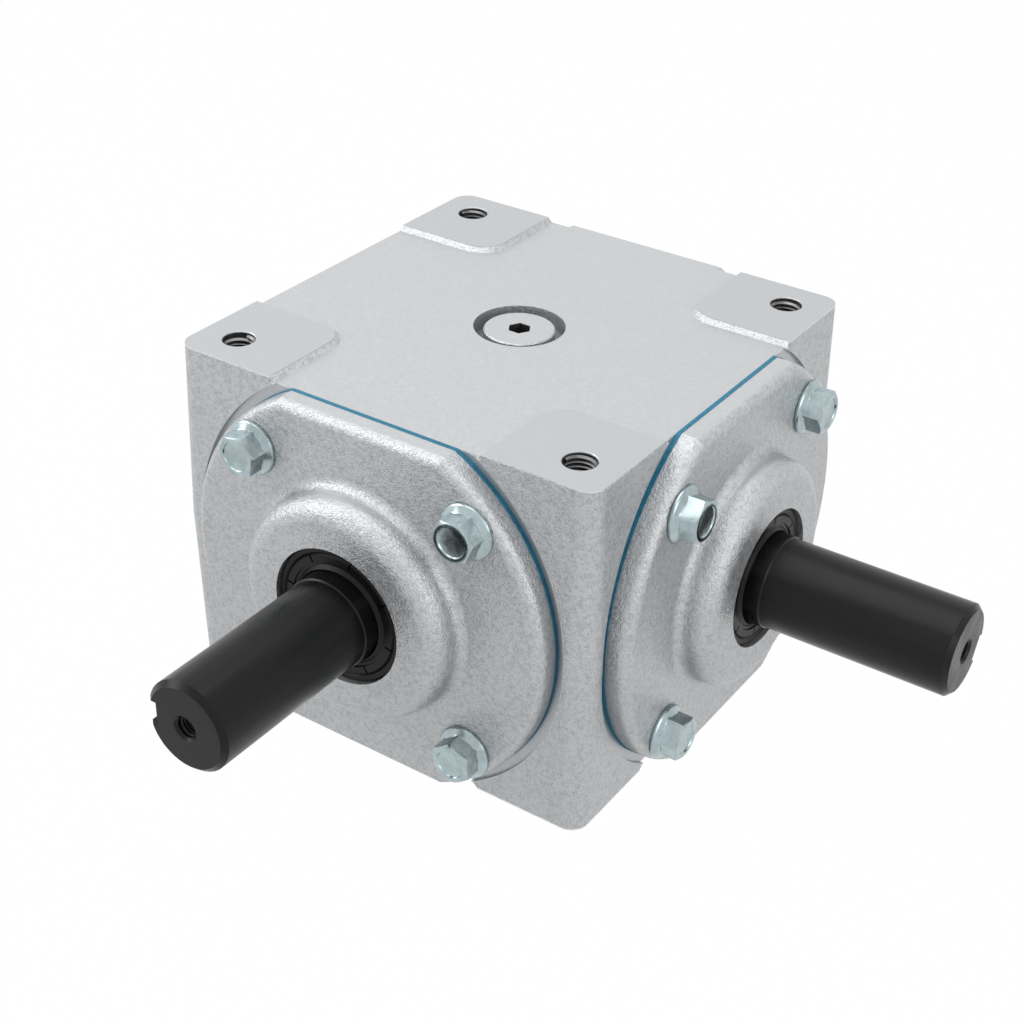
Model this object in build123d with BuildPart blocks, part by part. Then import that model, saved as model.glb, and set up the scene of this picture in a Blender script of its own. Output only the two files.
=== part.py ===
from build123d import *
import math
import os

# Right angle bevel gearbox with one through shaft and one side shaft, ratio 1 to 1.
# Z is up, the origin is the middle of the lower mounting pads, below the crossing of the shafts.
# The front shaft points along -Y and the side shaft along +X.

os.makedirs("parts", exist_ok=True)

# Casting
case_width = 186.0           # across the casting at its parting plane, half way up
case_height = 145.0          # over the lower and upper mounting pads
case_draft = 1.5             # degrees, each way from the parting plane
case_corner = 9.0            # radius of the upright corners at the parting plane
pad_height = 2.0             # pads stand this far above the plain surface
pad_reach = 28.5             # from a mounting hole's axis to the inner edges of its pad
pad_corner = 11.0            # inner corner radius of a pad
plain_wall = 10.0            # rear and left walls at the parting plane
bolted_wall = 21.0           # front and side walls, thick enough for the cover bolts
floor_wall = 9.0             # below and above the oil space
cavity_corner = 56.0         # upright corner radius of the oil space
cavity_round = 6.0           # round between its walls, floor and roof
boss_proud = 1.0             # rear boss face beyond the casting at the parting plane

# Mounting holes in the pads, drilled right through the corners and tapped from both ends
mount_edge = 18.0            # from the width at the parting plane to the hole axes
mount_thread = 12.0
mount_depth = 24.0
mount_drill = 10.2
mount_chamfer = 0.5

# Covers
seat_depth = 3.2             # machined seats lie this far inside the width at the parting plane
seat_margin = 4.0            # radial, from a flange's rim to the wall round its seat
gasket_thick = 0.5
flange_thick = 10.2
flange_round = 4.0
hub_height = 13.8            # from a flange's face to the front of its hub
hub_wall = 5.0               # radial, round the outer bearing
hub_crown = 8.0
hub_root = 4.0
opening_diameter = 115.0
spigot_length = 6.0
sleeve_wall = 7.0            # radial, round the bearings
location_clearance = 0.05    # radial, between a located piece and its seat

# Cover bolts, hexagon flange head
bolt_land = 9.8              # from an opening's wall to the bolt axes
bolt_edge = 11.7             # from the bolt axes to a flange's rim
bolt_thread = 10.0
bolt_length = 25.0
bolt_flats = 15.0
bolt_head = 9.6
bolt_flange = 21.4
bolt_flange_rim = 1.6
bolt_hole_margin = 0.5       # radial, between a bolt and its hole in a cover
bolt_hole_room = 1.7         # left under a bolt's end
thread_clearance = 0.05      # radial, threads are plain cylinders

# Shafts
drive_length = 72.5          # from where the drive diameter begins to the free end
drive_gap = 5.2              # from a hub's face to where the drive diameter begins
drive_diameter = 35.0
journal_diameter = 36.0
seat_diameter = 40.0         # under the bearings and the front gear
gear_seat_diameter = 35.0    # under the side gear
rear_seat_diameter = 35.0
end_chamfer = 2.0
step_chamfer = 0.5
keyway_width = 10.0
keyway_depth = 5.0
keyway_length = 60.0
side_keyway_turn = 25.0      # degrees below the horizontal, as the side shaft stands at rest
centre_thread = 8.0
centre_depth = 20.0
centre_sink = 10.0
collar_step = 4.5            # radial, above the bearing and gear seat
collar_length = 8.0
spacer_wall = 4.0

# Bearings: bore, outside, width, ball, number of balls
main_bearing = (seat_diameter, 80.0, 18.0, 12.0, 9)
rear_bearing = (rear_seat_diameter, 72.0, 17.0, 11.0, 9)
ball_clearance = 0.06
ring_chamfer = 1.0
cage_thick = 2.4
shaft_clearance = 0.03       # radial, between a shaft and the rings and gears on it
rear_float = 0.5             # between the rear bearing and the end of its seat
rear_boss_wall = 10.0
rear_relief = 4.0            # rim left behind the rear outer ring
pocket_depth = 0.6           # cage width each side of the balls' middle, as a part of the ball

# Shaft seals
seal_section = 9.5           # radial, from the shaft to the seal's bore
seal_room = 0.9              # between the end of a bearing seat and the seal
seal_recess = 1.8
seal_width = 7.0
seal_rim = 2.3               # width of the raised ring at the edge of the face
seal_step = 0.6              # depth of the groove inside that ring, and of the step at the dust lip
seal_face_gap = 3.3          # radial, from the shaft to the flat face
seal_skin = 1.4
lip_room = 0.6               # between a lip's root and the shaft
lip_clearance = 0.05
seal_notches = 8
notch_length = 3.0
notch_width = 0.8
front_notch_turn = 31.0
side_notch_turn = 35.0
spring_radius = 0.8

# Bevel gears
gear_module = 4.0
gear_teeth = 22
pressure_angle = 20.0
face_width = 18.0
gear_backlash = 0.3          # off the width of every tooth space side, at the large end
gear_hub_back = 5.1          # the hub stands this far out behind the gear
gear_front_set = 0.3         # front face, this far inside the small pitch circle
gear_hub_wall = 9.0
gear_rim = 4.0
dedendum = 1.25              # of the module
space_over = 0.15            # the cut for a tooth space runs past both ends by this part
front_key = (12.0, 8.0, 5.0, 20.0)
side_key = (10.0, 8.0, 5.0, 20.0)
key_clearance = 0.03

# Retaining rings: thickness, groove width, groove depth
main_circlip = (1.75, 1.85, 1.25)
small_circlip = (1.5, 1.6, 1.0)
bore_circlip = (2.5, 2.65, 1.75)
circlip_land = 1.5           # shaft or bore left beyond a groove

# Filler plug
plug_recess = 35.4
plug_head = 27.6
plug_head_thick = 4.0
plug_sunk = 1.0              # below the plain surface
plug_thread = 22.0
plug_reach = 12.0
plug_hex = 8.0
plug_hex_depth = 5.0
plug_washer = 1.5
plug_boss = 46.0
plug_boss_depth = 6.0

# Derived sizes
crossing_height = case_height / 2
plain_half_height = crossing_height - pad_height
half_width = case_width / 2
mount_pitch = case_width - 2 * mount_edge
pad_inset = mount_pitch / 2 - pad_reach
cavity_low = pad_height + floor_wall
cavity_height = case_height - 2 * cavity_low
far_wall = half_width - plain_wall
near_wall = half_width - bolted_wall
seat_plane = half_width - seat_depth
gasket_top = seat_plane + gasket_thick
cover_face = gasket_top + flange_thick
hub_face = cover_face + hub_height
drive_start = hub_face + drive_gap
shaft_end = drive_start + drive_length
opening_radius = opening_diameter / 2
bolt_radius = opening_radius + bolt_land
bolt_offset = bolt_radius / math.sqrt(2)
bolt_hole_depth = bolt_length - flange_thick - gasket_thick + bolt_hole_room
cover_radius = bolt_radius + bolt_edge
seat_radius = cover_radius + seat_margin
hub_radius = main_bearing[1] / 2 + hub_wall
sleeve_radius = main_bearing[1] / 2 + sleeve_wall
journal_radius = journal_diameter / 2
seal_bore_radius = journal_radius + seal_section
seal_face = journal_radius + seal_face_gap
seal_front = hub_face - seal_recess
seal_back = seal_front - seal_width
seat_end = seal_back - seal_room
bearing_shoulder = seat_end - circlip_land / 2 - main_circlip[1]
outer_bearing_in = bearing_shoulder - main_bearing[2]
pitch_radius = gear_module * gear_teeth / 2
cone_distance = pitch_radius * math.sqrt(2)
base_distance = cone_distance * math.cos(math.radians(pressure_angle))
small_end = 1 - face_width / cone_distance
gear_deep = (dedendum * gear_module + gear_rim) / math.sqrt(2)
gear_hub_front = pitch_radius * small_end - gear_front_set
gear_hub_end = pitch_radius + gear_deep + gear_hub_back
side_inner_in = gear_hub_end
front_sleeve_end = outer_bearing_in - bore_circlip[1] - circlip_land
side_sleeve_end = side_inner_in - bore_circlip[1] - circlip_land
rear_seat_end = far_wall - rear_float
rear_bearing_in = rear_seat_end - rear_bearing[2]
rear_shaft_end = rear_seat_end + small_circlip[1] + circlip_land
side_shaft_end = gear_hub_front - small_circlip[1] - circlip_land
turn = math.radians(side_keyway_turn)


# A shaft line: where it points, the direction from it to the place where the gears mesh, and the
# direction that its drive key slot faces, on which side the half sections are drawn.
class ShaftLine:
    def __init__(self, outward, mesh_side, slot_side):
        self.crossing = Vector(0, 0, crossing_height)
        self.outward = Vector(*outward)
        self.mesh_side = Vector(*mesh_side)
        self.slot_side = Vector(*slot_side)
        self.axis = Axis(self.crossing, self.outward)
        self.section = Plane(self.crossing, x_dir=self.slot_side, z_dir=self.slot_side.cross(self.outward))

    def square(self, distance):
        return Plane(self.crossing + self.outward * distance, x_dir=self.mesh_side, z_dir=self.outward)


front = ShaftLine((0, -1, 0), (1, 0, 0), (-1, 0, 0))
side = ShaftLine((1, 0, 0), (0, -1, 0), (0, math.cos(turn), -math.sin(turn)))
rear = ShaftLine((0, 1, 0), (1, 0, 0), (-1, 0, 0))


def save(piece, name):
    piece.part.label = name
    export_step(piece.part, f"parts/{name}.step")


# Turns a half section round a shaft line: points of radius and distance from the crossing.
def turn_section(line, *points):
    with BuildSketch(line.section) as section:
        with BuildLine():
            Polyline(*points, close=True)
        make_face()
    revolve(section.sketch, axis=line.axis)


def make_spacer(line, inside, outside, low, high):
    with BuildPart() as spacer:
        turn_section(line, (inside, low), (outside, low), (outside, high), (inside, high))
    return spacer


# Round outline with a flat above and below, as the covers, gaskets and rear boss share.
def flatted_disc(radius):
    Circle(radius)
    Rectangle(2 * radius, 2 * plain_half_height, mode=Mode.INTERSECT)


# The sketch planes of the shaft lines lie on their side, so the flats need a plane that stands up.
def upright(line, distance):
    across = Vector(0, 0, 1).cross(line.outward)
    return Plane(line.crossing + line.outward * distance, x_dir=across, z_dir=line.outward)


# Housing
with BuildPart() as housing:
    with BuildSketch(Plane.XY.offset(crossing_height)):
        RectangleRounded(case_width, case_width, case_corner)
    extrude(amount=crossing_height, both=True, taper=case_draft)
    # plain surface between the pads, below and above
    with BuildSketch(Plane.XY, Plane.XY.offset(case_height - pad_height)):
        Rectangle(2 * case_width, 2 * case_width)
        with GridLocations(2 * (pad_inset + half_width), 2 * (pad_inset + half_width), 2, 2):
            RectangleRounded(case_width, case_width, pad_corner, mode=Mode.SUBTRACT)
    extrude(amount=pad_height, mode=Mode.SUBTRACT)
    # rear boss over the blind bearing seat
    with BuildSketch(upright(rear, far_wall)):
        flatted_disc(cover_radius)
    extrude(amount=plain_wall + boss_proud)
    # oil space
    with BuildSketch(Plane.XY.offset(cavity_low)):
        with Locations(((near_wall - far_wall) / 2, (far_wall - near_wall) / 2)):
            RectangleRounded(far_wall + near_wall, far_wall + near_wall, cavity_corner)
    extrude(amount=cavity_height, mode=Mode.SUBTRACT)
    levels = housing.edges(Select.LAST).group_by(Axis.Z)
    fillet(levels[0] + levels[-1], cavity_round)
    # boss inside for the filler plug
    with BuildSketch(Plane.XY.offset(cavity_low + cavity_height - plug_boss_depth)):
        Circle(plug_boss / 2)
    extrude(amount=plug_boss_depth)
    # boss inside for the rear bearing
    with BuildSketch(rear.square(rear_bearing_in)):
        Circle(rear_bearing[1] / 2 + rear_boss_wall)
    extrude(amount=far_wall - rear_bearing_in)
    with BuildSketch(rear.square(rear_bearing_in - location_clearance)):
        Circle(rear_bearing[1] / 2 + location_clearance)
    extrude(amount=rear_bearing[2] + rear_float + location_clearance, mode=Mode.SUBTRACT)
    with BuildSketch(rear.square(far_wall)):
        Circle(rear_bearing[1] / 2 - rear_relief)
    extrude(amount=rear_shaft_end - far_wall + circlip_land, mode=Mode.SUBTRACT)
    # machined seats, openings and tapped holes for the two covers
    for line in (front, side):
        with BuildSketch(line.square(seat_plane)):
            Circle(seat_radius)
        extrude(amount=case_width, mode=Mode.SUBTRACT)
        with BuildSketch(line.square(side_sleeve_end)):
            Circle(opening_radius)
        extrude(amount=case_width, mode=Mode.SUBTRACT)
        with BuildSketch(upright(line, seat_plane)):
            with GridLocations(2 * bolt_offset, 2 * bolt_offset, 2, 2):
                Circle(bolt_thread / 2 + thread_clearance)
        extrude(amount=-bolt_hole_depth, mode=Mode.SUBTRACT)
    # tapped mounting holes in the pads
    for height, into in ((0, 1), (case_height, -1)):
        with BuildSketch(Plane.XY.offset(height)):
            with GridLocations(mount_pitch, mount_pitch, 2, 2):
                Circle(mount_thread / 2)
        extrude(amount=into * mount_depth, mode=Mode.SUBTRACT)
    with BuildSketch():
        with GridLocations(mount_pitch, mount_pitch, 2, 2):
            Circle(mount_drill / 2)
    extrude(amount=case_height, mode=Mode.SUBTRACT)
    mouths = housing.edges().filter_by(GeomType.CIRCLE).filter_by(
        lambda e: abs(e.radius - mount_thread / 2) < 0.001 and e.center().Z in (0, case_height))
    chamfer(mouths, mount_chamfer)
    # sunk seat and thread for the filler plug
    with BuildSketch(Plane.XY.offset(case_height - pad_height)):
        Circle(plug_recess / 2)
    extrude(amount=-(plug_sunk + plug_head_thick + plug_washer), mode=Mode.SUBTRACT)
    with BuildSketch(Plane.XY.offset(case_height - pad_height)):
        Circle(plug_thread / 2 + thread_clearance)
    extrude(amount=-crossing_height / 2, mode=Mode.SUBTRACT)
save(housing, "housing")


# A cover: flange, domed hub, spigot and bearing sleeve, bored for the seal and the bearing.
def make_cover(line, sleeve_end):
    with BuildPart() as cover:
        with BuildSketch(upright(line, gasket_top)):
            flatted_disc(cover_radius)
        extrude(amount=flange_thick)
        rim = cover.faces().sort_by(line.axis)[-1].outer_wire().edges()
        fillet(rim, flange_round)
        with BuildSketch(line.square(cover_face)):
            Circle(hub_radius)
        extrude(amount=hub_face - cover_face)
        fillet(cover.faces().sort_by(line.axis)[-1].edges(), hub_crown)
        root = cover.edges().filter_by(GeomType.CIRCLE).filter_by(lambda e: abs(e.radius - hub_radius) < 0.001)
        fillet(root.sort_by(line.axis)[0], hub_root)
        with BuildSketch(line.square(gasket_top)):
            Circle(opening_radius - location_clearance)
        extrude(amount=-(gasket_thick + spigot_length))
        with BuildSketch(line.square(gasket_top)):
            Circle(sleeve_radius)
        extrude(amount=sleeve_end - gasket_top)
        with BuildSketch(line.square(bearing_shoulder)):
            Circle(main_bearing[1] / 2 + location_clearance)
        extrude(amount=sleeve_end - bearing_shoulder, mode=Mode.SUBTRACT)
        with BuildSketch(line.square(bearing_shoulder)):
            Circle(seal_bore_radius)
        extrude(amount=hub_face - bearing_shoulder, mode=Mode.SUBTRACT)
        # groove for the retaining ring behind the bearings
        with BuildSketch(line.square(sleeve_end + circlip_land)):
            Circle(main_bearing[1] / 2 + bore_circlip[2])
        extrude(amount=bore_circlip[1], mode=Mode.SUBTRACT)
        with BuildSketch(upright(line, gasket_top)):
            with GridLocations(2 * bolt_offset, 2 * bolt_offset, 2, 2):
                Circle(bolt_thread / 2 + bolt_hole_margin)
        extrude(amount=flange_thick, mode=Mode.SUBTRACT)
    return cover


def make_gasket(line):
    with BuildPart() as gasket:
        with BuildSketch(upright(line, seat_plane)):
            flatted_disc(cover_radius)
            Circle(opening_radius, mode=Mode.SUBTRACT)
            with GridLocations(2 * bolt_offset, 2 * bolt_offset, 2, 2):
                Circle(bolt_thread / 2 + bolt_hole_margin, mode=Mode.SUBTRACT)
        extrude(amount=gasket_thick)
    return gasket


# Four hexagon flange bolts: shank, flange with a sloping top, chamfered hexagon with a dished end.
def make_bolts(line):
    across_corners = bolt_flats / math.cos(math.pi / 6)
    hex_start = bolt_flange_rim + (bolt_flange - bolt_flats) / 8
    with BuildPart() as bolt:
        with BuildSketch():
            RegularPolygon(across_corners / 2, 6)
        extrude(amount=bolt_head)
        with BuildSketch(Plane.XZ):
            with BuildLine():
                Polyline((0, 0), (bolt_flange, 0), (bolt_flange, bolt_head - across_corners / 4),
                         (bolt_flats * 0.475, bolt_head), (0, bolt_head), close=True)
            make_face()
        revolve(axis=Axis.Z, mode=Mode.INTERSECT)
        with BuildSketch(Plane.XZ):
            with BuildLine():
                Polyline((0, 0), (bolt_flange / 2, 0), (bolt_flange / 2, bolt_flange_rim / 2),
                         (bolt_flats / 2, hex_start + 1), (0, hex_start + 1), close=True)
            make_face()
        revolve(axis=Axis.Z)
        with BuildSketch(Plane.XY.offset(bolt_head)):
            Circle(bolt_flats * 0.36)
        extrude(amount=-bolt_thread / 20, taper=45, mode=Mode.SUBTRACT)
        with BuildSketch():
            Circle(bolt_thread / 2)
        extrude(amount=-bolt_length)
        chamfer(bolt.edges().sort_by(Axis.Z)[0], bolt_thread / 10)
    with BuildPart(upright(line, cover_face)) as bolts:
        with GridLocations(2 * bolt_offset, 2 * bolt_offset, 2, 2):
            add(bolt.part)
    return bolts


# A shaft seal: rubber case with a notched face, dust lip and sealing lip, open towards the oil.
def make_seal(line, notch_turn):
    rim = seal_bore_radius - location_clearance
    bevel = rim - seal_step
    groove = rim - seal_rim - seal_step
    lip = journal_radius + lip_clearance
    root = journal_radius + lip_room
    web = root + seal_skin
    low = seal_front - seal_step
    under = seal_front - seal_step - seal_skin
    with BuildPart() as seal:
        with BuildSketch(line.section):
            with BuildLine():
                Polyline((rim, seal_back), (rim, low), (bevel, seal_front), (rim - seal_rim, seal_front),
                         (groove, low), (groove - seal_step, seal_front), (seal_face, seal_front),
                         (seal_face, low), (web, low), (root, seal_front + seal_step),
                         (lip, seal_front), (root, under), (root, seal_back + seal_width / 2),
                         (lip, seal_back + seal_width / 4), (root, seal_back), (web, seal_back),
                         (web, seal_back + seal_width / 2), (web + seal_skin, under),
                         (rim - seal_skin, under), (rim - seal_skin, seal_back), close=True)
            make_face()
        revolve(axis=line.axis)
        with BuildSketch(line.square(seal_front)):
            with PolarLocations((groove + seal_face) / 2, seal_notches, start_angle=notch_turn):
                Rectangle(notch_length, notch_width)
        extrude(amount=-seal_step, mode=Mode.SUBTRACT)
    return seal


# The coil spring round a sealing lip, as one plain ring.
def make_garter(line):
    with BuildPart() as garter:
        with BuildSketch(line.section):
            with Locations((journal_radius + lip_room + seal_skin + spring_radius + location_clearance,
                            seal_back + seal_width / 4)):
                Circle(spring_radius)
        revolve(axis=line.axis)
    return garter


# A deep groove ball bearing that starts at a distance and reaches outward by its width.
def make_bearing(line, low, sizes, name):
    bore, outside, width, ball, count = sizes
    high = low + width
    middle = low + width / 2
    ball_circle = (bore + outside) / 4
    track = ball / 2 + ball_clearance
    inner_land = ball_circle - ball * 0.3
    outer_land = ball_circle + ball * 0.3
    inner_bore = bore / 2 + shaft_clearance
    for ring, near, far, seated in (("inner", inner_bore, inner_land, inner_bore),
                                    ("outer", outer_land, outside / 2, outside / 2)):
        with BuildPart() as race:
            with BuildSketch(line.section):
                with Locations(((near + far) / 2, middle)):
                    Rectangle(far - near, width)
                with Locations((ball_circle, middle)):
                    Circle(track, mode=Mode.SUBTRACT)
            revolve(axis=line.axis)
            rims = race.edges().filter_by(GeomType.CIRCLE).filter_by(lambda e: abs(e.radius - seated) < 0.001)
            chamfer(rims, ring_chamfer)
        save(race, f"{name}_{ring}_ring")
    with BuildPart() as balls:
        with Locations(line.square(middle)):
            with PolarLocations(ball_circle, count):
                Sphere(ball / 2)
    with BuildPart() as cage:
        with BuildSketch(line.square(middle)):
            Circle(ball_circle + cage_thick / 2)
            Circle(ball_circle - cage_thick / 2, mode=Mode.SUBTRACT)
        extrude(amount=ball * pocket_depth, both=True)
        with Locations(line.square(middle)):
            with PolarLocations(ball_circle, count):
                Cylinder(track, 2 * cage_thick, rotation=(0, 90, 0), mode=Mode.SUBTRACT)
    save(balls, f"{name}_balls")
    save(cage, f"{name}_cage")


# A retaining ring with two drilled ears; the bore kind has its ears inside.
def make_circlip(line, low, sizes, seat_radius_here, in_bore):
    thick, groove, depth = sizes
    sign = 1 if in_bore else -1
    root = seat_radius_here + sign * (depth - location_clearance)
    band = thick * 1.6
    ear = thick * 1.3
    free = root - sign * band
    with BuildPart() as clip:
        with BuildSketch(line.square(low + (groove - thick) / 2)):
            Circle(max(root, free))
            Circle(min(root, free), mode=Mode.SUBTRACT)
            with Locations((-(root + free) / 2, 0)):
                Rectangle(4 * band, 4 * ear, mode=Mode.SUBTRACT)
            with Locations((-(free - sign * ear * 0.2), 2 * ear), (-(free - sign * ear * 0.2), -2 * ear)):
                Circle(ear)
                Circle(ear * 0.45, mode=Mode.SUBTRACT)
        extrude(amount=thick)
    return clip


# A parallel key with round ends, lying half in the shaft and half in the hub.
def make_key(line, sizes, low, seat_radius_here):
    width, height, depth, length = sizes
    with BuildPart() as key:
        with BuildSketch(Plane(line.crossing, x_dir=line.outward, z_dir=line.mesh_side).offset(
                seat_radius_here - depth + key_clearance)):
            with Locations((low + length / 2, 0)):
                SlotOverall(length - 2 * key_clearance, width - 2 * key_clearance)
        extrude(amount=height - 2 * key_clearance)
    return key


# Cuts a key slot into the shaft that is being built.
def cut_keyway(line, radial, sizes, middle, seat_radius_here):
    width, depth, length = sizes
    floor = Plane(line.crossing, x_dir=line.outward, z_dir=radial).offset(seat_radius_here - depth)
    with BuildSketch(floor) as slot:
        with Locations((middle, 0)):
            SlotOverall(length, width)
    extrude(slot.sketch, amount=2 * depth, mode=Mode.SUBTRACT)


# Grooves for retaining rings, cut into the shaft that is being built.
def cut_groove(line, low, sizes, seat_radius_here):
    with BuildSketch(line.square(low)) as groove:
        Circle(2 * seat_radius_here)
        Circle(seat_radius_here - sizes[2], mode=Mode.SUBTRACT)
    extrude(groove.sketch, amount=sizes[1], mode=Mode.SUBTRACT)


# The end that a coupling or pulley goes on: chamfer, key slot and centre hole.
def finish_drive_end(line):
    cut_keyway(line, line.slot_side, (keyway_width, keyway_depth, 2 * keyway_length), shaft_end, drive_diameter / 2)
    with BuildSketch(line.square(shaft_end)) as thread:
        Circle(centre_thread / 2)
    extrude(thread.sketch, amount=-centre_depth, mode=Mode.SUBTRACT)
    with BuildSketch(line.square(shaft_end)) as sink:
        Circle(centre_sink / 2)
    extrude(sink.sketch, amount=-(centre_sink - centre_thread) / 2, taper=45, mode=Mode.SUBTRACT)


# The stepped end that both shafts share, from the bearing seat to the free end.
def outer_steps():
    drive = drive_diameter / 2
    return [(seat_diameter / 2, seat_end - step_chamfer), (seat_diameter / 2 - step_chamfer, seat_end),
            (journal_radius, seat_end), (journal_radius, drive_start - step_chamfer), (drive, drive_start),
            (drive, shaft_end - end_chamfer), (drive - end_chamfer, shaft_end), (0, shaft_end)]


for line, sleeve_end, notch_turn, name in ((front, front_sleeve_end, front_notch_turn, "front"),
                                           (side, side_sleeve_end, side_notch_turn, "side")):
    save(make_cover(line, sleeve_end), f"{name}_cover")
    save(make_gasket(line), f"{name}_gasket")
    save(make_bolts(line), f"{name}_cover_bolts")
    save(make_seal(line, notch_turn), f"{name}_seal")
    save(make_garter(line), f"{name}_seal_spring")
    save(make_circlip(line, bearing_shoulder, main_circlip, seat_diameter / 2, False), f"{name}_shaft_circlip")
    save(make_circlip(line, sleeve_end + circlip_land, bore_circlip, main_bearing[1] / 2, True),
         f"{name}_bore_circlip")

make_bearing(front, outer_bearing_in, main_bearing, "front_bearing")
make_bearing(side, outer_bearing_in, main_bearing, "side_outer_bearing")
make_bearing(side, side_inner_in, main_bearing, "side_inner_bearing")
make_bearing(rear, rear_bearing_in, rear_bearing, "rear_bearing")
save(make_circlip(rear, rear_seat_end, small_circlip, rear_seat_diameter / 2, False), "rear_shaft_circlip")
save(make_circlip(side, gear_hub_front - small_circlip[1], small_circlip, gear_seat_diameter / 2, False),
     "side_gear_circlip")

# Spacers on the shafts and between the outer rings of the side shaft
save(make_spacer(front, seat_diameter / 2 + shaft_clearance, seat_diameter / 2 + spacer_wall,
                 gear_hub_end, outer_bearing_in), "front_spacer")
save(make_spacer(side, seat_diameter / 2 + shaft_clearance, seat_diameter / 2 + spacer_wall,
                 side_inner_in + main_bearing[2], outer_bearing_in), "side_spacer")
save(make_spacer(side, main_bearing[1] / 2 - spacer_wall, main_bearing[1] / 2,
                 side_inner_in + main_bearing[2], outer_bearing_in), "side_ring_spacer")

# Through shaft: free end in front, gear seat against a collar, rear bearing seat
seat = seat_diameter / 2
rear_seat = rear_seat_diameter / 2
front_key_middle = (gear_hub_front + gear_hub_end) / 2
with BuildPart() as front_shaft:
    turn_section(front, (0, -rear_shaft_end), (rear_seat - step_chamfer, -rear_shaft_end),
                 (rear_seat, step_chamfer - rear_shaft_end), (rear_seat, -rear_bearing_in),
                 (seat, -rear_bearing_in), (seat, gear_hub_front - collar_length),
                 (seat + collar_step, gear_hub_front - collar_length),
                 (seat + collar_step, gear_hub_front), (seat, gear_hub_front), *outer_steps())
    finish_drive_end(front)
    cut_groove(front, bearing_shoulder, main_circlip, seat)
    cut_groove(front, -rear_seat_end - small_circlip[1], small_circlip, rear_seat)
    cut_keyway(front, front.mesh_side, (front_key[0], front_key[2], front_key[3]), front_key_middle, seat)
save(front_shaft, "front_shaft")
save(make_key(front, front_key, front_key_middle - front_key[3] / 2, seat), "front_gear_key")

# Side shaft: two bearings side by side, gear overhung on its inner end
gear_seat = gear_seat_diameter / 2
with BuildPart() as side_shaft:
    turn_section(side, (0, side_shaft_end), (gear_seat - step_chamfer, side_shaft_end),
                 (gear_seat, side_shaft_end + step_chamfer), (gear_seat, gear_hub_end),
                 (seat, gear_hub_end), *outer_steps())
    finish_drive_end(side)
    cut_groove(side, bearing_shoulder, main_circlip, seat)
    cut_groove(side, gear_hub_front - small_circlip[1], small_circlip, gear_seat)
    cut_keyway(side, side.mesh_side, (side_key[0], side_key[2], side_key[3]), front_key_middle, gear_seat)
save(side_shaft, "side_shaft")
save(make_key(side, side_key, front_key_middle - side_key[3] / 2, gear_seat), "side_gear_key")


# Half width of a tooth space, as an angle round the back cone's centre, at a distance from it.
def space_angle(distance):
    here = math.acos(min(1, base_distance / distance))
    at_pitch = math.radians(pressure_angle)
    opened = math.tan(here) - here - math.tan(at_pitch) + at_pitch
    virtual_teeth = gear_teeth * math.sqrt(2)
    return math.pi / (2 * virtual_teeth) + opened + gear_backlash / 4 / distance


# Outline of a tooth space on the back cone, laid flat and scaled towards the crossing.
def space_outline(plane, scale):
    root = cone_distance - dedendum * gear_module
    top = cone_distance + 1.5 * gear_module
    flank = []
    for i in range(5):
        distance = base_distance + (top - base_distance) * i / 4
        angle = space_angle(distance)
        flank.append((scale * distance * math.sin(angle), scale * (distance * math.cos(angle) - cone_distance)))
    foot = space_angle(base_distance)
    low = (scale * root * math.sin(foot), scale * (root * math.cos(foot) - cone_distance))
    mirrored = [(-x, y) for x, y in flank]
    with BuildSketch(plane) as outline:
        with BuildLine():
            Spline(*flank)
            Line(flank[-1], mirrored[-1])
            Spline(*mirrored)
            Line(mirrored[0], (-low[0], low[1]))
            Line((-low[0], low[1]), low)
            Line(low, flank[0])
        make_face()
    return outline.sketch


# A tooth space of a bevel gear that has its axis on Z and its apex at the origin.
with BuildPart() as tooth_space:
    ends = []
    for scale in (1 + space_over, small_end * (1 - space_over)):
        along = pitch_radius * scale
        ends.append(space_outline(Plane((along, 0, along), x_dir=(0, -1, 0), z_dir=(1, 0, 1)), scale))
    loft(ends, ruled=True)


# A straight bevel gear with its pitch cone at 45 degrees and its apex at the crossing.
def make_gear(line, bore_radius, key, first_space):
    tip = gear_module / math.sqrt(2)
    foot = dedendum * tip
    hub = bore_radius + gear_hub_wall
    bore = bore_radius + shaft_clearance
    inner = pitch_radius * small_end
    with BuildPart(line.square(0)) as gear:
        turn_section(line, (bore, gear_hub_front), (hub - step_chamfer, gear_hub_front),
                     (inner - foot * small_end, inner + foot * small_end),
                     (inner + tip * small_end, inner - tip * small_end), (pitch_radius + tip, pitch_radius - tip),
                     (pitch_radius - gear_deep, pitch_radius + gear_deep), (hub, pitch_radius + gear_deep),
                     (hub, gear_hub_end), (bore, gear_hub_end))
        with PolarLocations(0, gear_teeth, start_angle=first_space):
            add(tooth_space.part, mode=Mode.SUBTRACT)
        with BuildSketch(Plane(line.crossing, x_dir=line.outward, z_dir=line.mesh_side)):
            with Locations(((gear_hub_front + gear_hub_end) / 2, 0)):
                Rectangle(2 * (gear_hub_end - gear_hub_front), key[0])
        extrude(amount=bore_radius - key[2] + key[1], mode=Mode.SUBTRACT)
    return gear


tooth_pitch = 360 / gear_teeth
save(make_gear(front, seat, front_key, tooth_pitch / 2), "front_bevel_gear")
save(make_gear(side, gear_seat, side_key, 0), "side_bevel_gear")


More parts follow.
